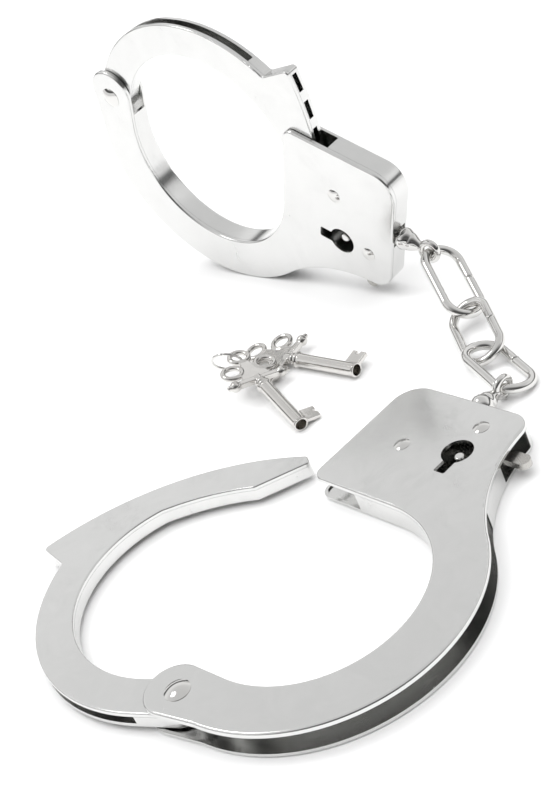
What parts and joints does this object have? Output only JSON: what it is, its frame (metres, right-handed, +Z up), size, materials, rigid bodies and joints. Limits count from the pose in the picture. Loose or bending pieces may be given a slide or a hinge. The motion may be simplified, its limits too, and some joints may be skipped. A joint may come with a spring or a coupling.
{
  "type": "handcuffs",
  "caption": "Plated steel handcuffs joined by a short link chain, one cuff open and the other closed, with decorative keys and a key ring.",
  "frame": {"origin": "middle of the bounding box in plan, at the floor the cuffs and keys rest on", "axes": "+Z up from the floor; +Y from the open cuff towards the standing cuff; +X to the side where the chain lies"},
  "size_m": [0.131, 0.225, 0.0815],
  "materials": {
    "nickel_sheet": "bright nickel plate on stamped sheet",
    "nickel_rivet": "bright nickel plate on headed rivets",
    "nickel_swivel": "bright nickel plate on turned swivels",
    "nickel_chain": "bright nickel plate on bent wire",
    "nickel_key": "bright nickel plate on cast zinc",
    "pawl_steel": "stamped steel, tumbled",
    "spring_steel": "drawn spring wire"
  },
  "bodies": {
    "lower_case": {"lower_front_shell": "nickel_sheet", "lower_rear_shell": "nickel_sheet", "lower_hinge_rivet": "nickel_rivet", "lower_pawl_rivet": "nickel_rivet", "lower_case_rivet": "nickel_rivet", "lower_key_post": "nickel_rivet", "lower_pawl_spring": "spring_steel"},
    "lower_pawl": {"lower_pawl": "pawl_steel"},
    "lower_swivel": {"lower_swivel": "nickel_swivel", "lower_swivel_washer": "nickel_swivel"},
    "lower_jaw": {"lower_jaw_front": "nickel_sheet", "lower_jaw_rear": "nickel_sheet"},
    "upper_case": {"upper_front_shell": "nickel_sheet", "upper_rear_shell": "nickel_sheet", "upper_hinge_rivet": "nickel_rivet", "upper_pawl_rivet": "nickel_rivet", "upper_case_rivet": "nickel_rivet", "upper_key_post": "nickel_rivet", "upper_pawl_spring": "spring_steel"},
    "upper_pawl": {"upper_pawl": "pawl_steel"},
    "upper_swivel": {"upper_swivel": "nickel_swivel", "upper_swivel_washer": "nickel_swivel"},
    "upper_jaw": {"upper_jaw_front": "nickel_sheet", "upper_jaw_rear": "nickel_sheet"},
    "link_1": {"link_1": "nickel_chain"},
    "link_2": {"link_2": "nickel_chain"},
    "link_3": {"link_3": "nickel_chain"},
    "key_1": {"key_1": "nickel_key"},
    "key_2": {"key_2": "nickel_key"},
    "key_ring": {"key_ring": "nickel_key"}
  },
  "joints": [
    {"name": "lower_jaw_swing", "type": "hinge", "parent": "lower_case", "child": "lower_jaw", "pos_m": [-0.03672, -0.08519, 0.0035], "axis": [0, 0, 1], "range_deg": [-51, 95]},
    {"name": "lower_pawl_turn", "type": "hinge", "parent": "lower_case", "child": "lower_pawl", "pos_m": [0.02809, -0.03978, 0.0035], "axis": [0, 0, 1], "range_deg": [0, 8.5], "stiffness_Nm_per_rad": 0.02, "springref_deg": -17.19},
    {"name": "lower_swivel_spin", "type": "hinge", "parent": "lower_case", "child": "lower_swivel", "pos_m": [0.04924, -0.03447, 0.0035], "axis": [0.8678, 0.497, 0], "continuous": true},
    {"name": "link_3_swing", "type": "hinge", "parent": "lower_swivel", "child": "link_3", "pos_m": [0.05349, -0.032, 0.00329], "axis": [0.011, 0.1561, -0.9877], "range_deg": [-4, 20]},
    {"name": "link_2_swing", "type": "hinge", "parent": "link_3", "child": "link_2", "pos_m": [0.05678, -0.01533, 0.00319], "axis": [0.2694, -0.0078, 0.963], "range_deg": [-30, 8]},
    {"name": "link_1_swing", "type": "hinge", "parent": "link_2", "child": "link_1", "pos_m": [0.05871, 0.00081, 0.00477], "axis": [-0.3642, -0.0725, 0.9285], "range_deg": [-30, 8]},
    {"name": "upper_swivel_swing", "type": "hinge", "parent": "link_1", "child": "upper_swivel", "pos_m": [0.05831, 0.02226, 0.01434], "axis": [-0.8478, -0.4921, 0.1975], "range_deg": [-40, 25]},
    {"name": "upper_swivel_spin", "type": "hinge", "parent": "upper_swivel", "child": "upper_case", "pos_m": [0.05435, 0.02759, 0.01771], "axis": [0.5186, -0.7406, -0.4274], "continuous": true},
    {"name": "upper_jaw_swing", "type": "hinge", "parent": "upper_case", "child": "upper_jaw", "pos_m": [0.00228, 0.10196, 0.05918], "axis": [-0.8192, -0.5736, 0], "range_deg": [-5, 140]},
    {"name": "upper_pawl_turn", "type": "hinge", "parent": "upper_case", "child": "upper_pawl", "pos_m": [0.04491, 0.04108, 0.03202], "axis": [-0.8192, -0.5736, 0], "range_deg": [0, 3.1], "stiffness_Nm_per_rad": 0.02, "springref_deg": -22.92},
    {"name": "key_ring_turn", "type": "hinge", "parent": "key_1", "child": "key_ring", "pos_m": [0.00194, 0.02759, 0.00629], "axis": [0.8312, -0.5191, 0.199], "range_deg": [-15, 10]},
    {"name": "key_1_lift", "type": "slide", "parent": "lower_case", "child": "key_1", "axis": [0, 0, 1], "range_m": [0, 0.03]},
    {"name": "key_2_slide", "type": "slide", "parent": "lower_case", "child": "key_2", "axis": [0.9536, 0.3011, 0], "range_m": [0, 0.012]}
  ]
}
